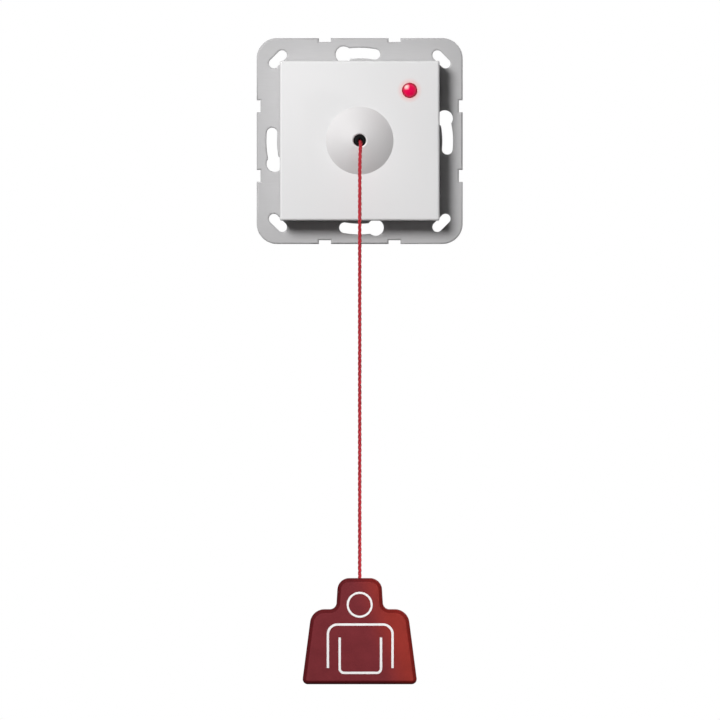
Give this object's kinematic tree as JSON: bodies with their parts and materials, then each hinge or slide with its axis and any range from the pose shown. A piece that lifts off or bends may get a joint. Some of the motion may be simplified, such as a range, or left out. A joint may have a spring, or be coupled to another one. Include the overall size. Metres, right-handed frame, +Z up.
{
  "type": "pull cord call switch",
  "caption": "Flush wall call switch: steel support ring, square white plate with a low dome and a red lamp, and a red pull cord with a flat grip that works a sprung push contact",
  "frame": {"origin": "centre of the support ring's back face, on the wall's surface", "axes": "+X right, +Y into the wall, +Z up"},
  "size_m": [0.071, 0.0507, 0.2224],
  "materials": {
    "ring_steel": "zinc-plated, dull",
    "plate_white": "satin",
    "carrier_black": "fine mould texture",
    "housing_grey": "fine mould texture",
    "screw_steel": "zinc-plated",
    "board_green": "solder mask",
    "resistor_tan": "lacquered",
    "chip_black": "moulded epoxy",
    "switch_black": "moulded",
    "button_red": "moulded",
    "tinned_metal": "tinned",
    "lamp_red": "clear-cast resin",
    "block_grey": "moulded",
    "plunger_black": "moulded",
    "spring_steel": "drawn wire",
    "cord_red": "laid strands",
    "tie_black": "smooth",
    "grip_red": "fine mould texture"
  },
  "bodies": {
    "switch": {"support_ring": "ring_steel", "carrier": "carrier_black", "housing": "housing_grey", "housing_screws": "screw_steel", "centre_plate": "plate_white", "circuit_board": "board_green", "board_screws": "screw_steel", "resistors": "resistor_tan", "lamp_driver": "chip_black", "microswitch_case": "switch_black", "microswitch_pins": "tinned_metal", "lamp": "lamp_red", "lamp_leads": "tinned_metal", "lamp_spacer": "carrier_black", "terminal_block": "block_grey", "terminal_clamps": "tinned_metal", "terminal_screws": "screw_steel", "return_spring": "spring_steel"},
    "plunger": {"plunger": "plunger_black", "stop_knot": "cord_red", "cord_tail": "cord_red"},
    "contact_button": {"microswitch_button": "button_red"},
    "cord_lead": {"cord_lead": "cord_red"},
    "pull_cord": {"cord_run": "cord_red", "grip_knot": "cord_red", "cord_link": "cord_red", "cord_coil": "cord_red", "coil_tie": "tie_black", "cord_end": "cord_red", "end_knot": "cord_red", "grip_front": "grip_red", "grip_back": "grip_red", "grip_screws": "screw_steel"}
  },
  "joints": [
    {"name": "cord_swing", "type": "hinge", "parent": "switch", "child": "cord_lead", "pos_m": [0, -0.0166, 0], "axis": [0, 1, 0], "range_deg": [-30, 30]},
    {"name": "cord_drop", "type": "slide", "parent": "cord_lead", "child": "pull_cord", "axis": [0, 0, -1], "range_m": [0, 0.005], "deforming": ["cord_lead"]},
    {"name": "plunger_slide", "type": "slide", "parent": "switch", "child": "plunger", "axis": [0, -1, 0], "range_m": [0, 0.005], "stiffness_N_per_m": 360, "springref_m": -0.0085, "deforming": ["return_spring"]},
    {"name": "button_press", "type": "slide", "parent": "switch", "child": "contact_button", "axis": [1, 0, 0], "range_m": [0, 0.001]}
  ],
  "couplings": [
    {"joint": "plunger_slide", "follows": "cord_drop", "ratio": 1},
    {"joint": "button_press", "follows": "cord_drop", "ratio": 0.2}
  ]
}
